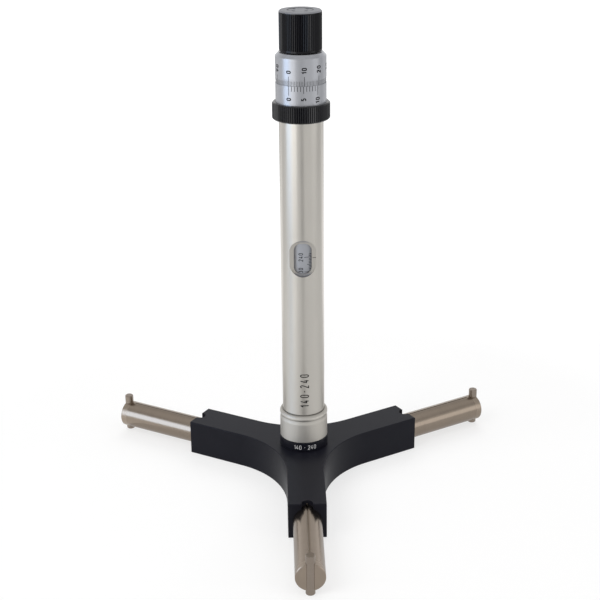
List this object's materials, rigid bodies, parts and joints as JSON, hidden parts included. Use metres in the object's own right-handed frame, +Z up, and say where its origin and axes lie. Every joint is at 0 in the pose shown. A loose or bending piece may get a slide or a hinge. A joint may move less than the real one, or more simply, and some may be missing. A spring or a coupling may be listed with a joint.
{
  "type": "inside micrometer",
  "caption": "Three-point inside micrometer: a tubular handle with a scale window and thimble drives radial measuring spindles out of a flat three-armed head through bevel gears.",
  "frame": {"origin": "centre of the head's flat underside, on the handle's axis", "axes": "+Z up the handle; -Y out along the first arm; +X to the right as seen from that arm"},
  "size_m": [0.2134, 0.1858, 0.2537],
  "materials": {
    "black_anodised": "black anodised, fine satin",
    "satin_chrome": "satin chrome plated",
    "ground_steel": "ground and lapped steel",
    "carbide": "ground hard metal",
    "hard_steel": "machined steel",
    "bronze": "turned bearing bronze",
    "spring_steel": "drawn spring wire"
  },
  "bodies": {
    "frame": {"head_body": "black_anodised", "hub_ring": "black_anodised", "union_nut": "satin_chrome", "handle_tube": "satin_chrome", "vernier_sleeve": "satin_chrome", "bearing_cap": "bronze", "foot_bush": "bronze", "shaft_bush": "bronze", "screw_bush_1": "bronze", "screw_bush_2": "bronze", "screw_bush_3": "bronze", "guide_key_1": "hard_steel", "guide_key_2": "hard_steel", "guide_key_3": "hard_steel"},
    "spindle_1": {"measuring_spindle_1": "ground_steel", "contact_pin_1": "carbide"},
    "spindle_2": {"measuring_spindle_2": "ground_steel", "contact_pin_2": "carbide"},
    "spindle_3": {"measuring_spindle_3": "ground_steel", "contact_pin_3": "carbide"},
    "screw_1": {"lead_screw_1": "hard_steel", "bevel_pinion_1": "hard_steel"},
    "screw_2": {"lead_screw_2": "hard_steel", "bevel_pinion_2": "hard_steel"},
    "screw_3": {"lead_screw_3": "hard_steel", "bevel_pinion_3": "hard_steel"},
    "drive": {"drive_shaft": "hard_steel", "drive_bevel_gear": "hard_steel", "thimble": "satin_chrome", "ratchet_wheel": "hard_steel", "stop_nut": "hard_steel"},
    "scale": {"scale_sleeve": "satin_chrome", "scale_nut": "bronze", "scale_key": "hard_steel"},
    "knob": {"ratchet_knob": "black_anodised", "knob_cap": "black_anodised", "ratchet_ring": "hard_steel", "ratchet_spring": "spring_steel"},
    "lock": {"lock_ring": "black_anodised"}
  },
  "joints": [
    {"name": "spindle_1_slide", "type": "slide", "parent": "frame", "child": "spindle_1", "axis": [0, -1, 0], "range_m": [-0.05, 0]},
    {"name": "spindle_2_slide", "type": "slide", "parent": "frame", "child": "spindle_2", "axis": [0.866, 0.5, 0], "range_m": [-0.05, 0]},
    {"name": "spindle_3_slide", "type": "slide", "parent": "frame", "child": "spindle_3", "axis": [-0.866, 0.5, 0], "range_m": [-0.05, 0]},
    {"name": "screw_1_turn", "type": "hinge", "parent": "frame", "child": "screw_1", "pos_m": [0, 0, 0.00955], "axis": [0, -1, 0], "range_deg": [-36000, 0]},
    {"name": "screw_2_turn", "type": "hinge", "parent": "frame", "child": "screw_2", "pos_m": [0, 0, 0.00955], "axis": [0.866, 0.5, 0], "range_deg": [-36000, 0]},
    {"name": "screw_3_turn", "type": "hinge", "parent": "frame", "child": "screw_3", "pos_m": [0, 0, 0.00955], "axis": [-0.866, 0.5, 0], "range_deg": [-36000, 0]},
    {"name": "thimble_turn", "type": "hinge", "parent": "frame", "child": "drive", "pos_m": [0, 0, 0.22], "axis": [0, 0, 1], "range_deg": [0, 36000]},
    {"name": "scale_slide", "type": "slide", "parent": "frame", "child": "scale", "axis": [0, 0, 1], "range_m": [0, 0.08]},
    {"name": "knob_turn", "type": "hinge", "parent": "drive", "child": "knob", "pos_m": [0, 0, 0.24], "axis": [0, 0, 1], "continuous": true},
    {"name": "lock_ring_turn", "type": "hinge", "parent": "frame", "child": "lock", "pos_m": [0, 0, 0.2046], "axis": [0, 0, 1], "range_deg": [0, 40]}
  ],
  "couplings": [
    {"joint": "spindle_2_slide", "follows": "spindle_1_slide", "ratio": 1},
    {"joint": "spindle_3_slide", "follows": "spindle_1_slide", "ratio": 1},
    {"joint": "screw_1_turn", "follows": "spindle_1_slide", "rad_per_m": 12566},
    {"joint": "screw_2_turn", "follows": "spindle_1_slide", "rad_per_m": 12566},
    {"joint": "screw_3_turn", "follows": "spindle_1_slide", "rad_per_m": 12566},
    {"joint": "thimble_turn", "follows": "spindle_1_slide", "rad_per_m": -12566},
    {"joint": "scale_slide", "follows": "spindle_1_slide", "ratio": -1.6}
  ]
}
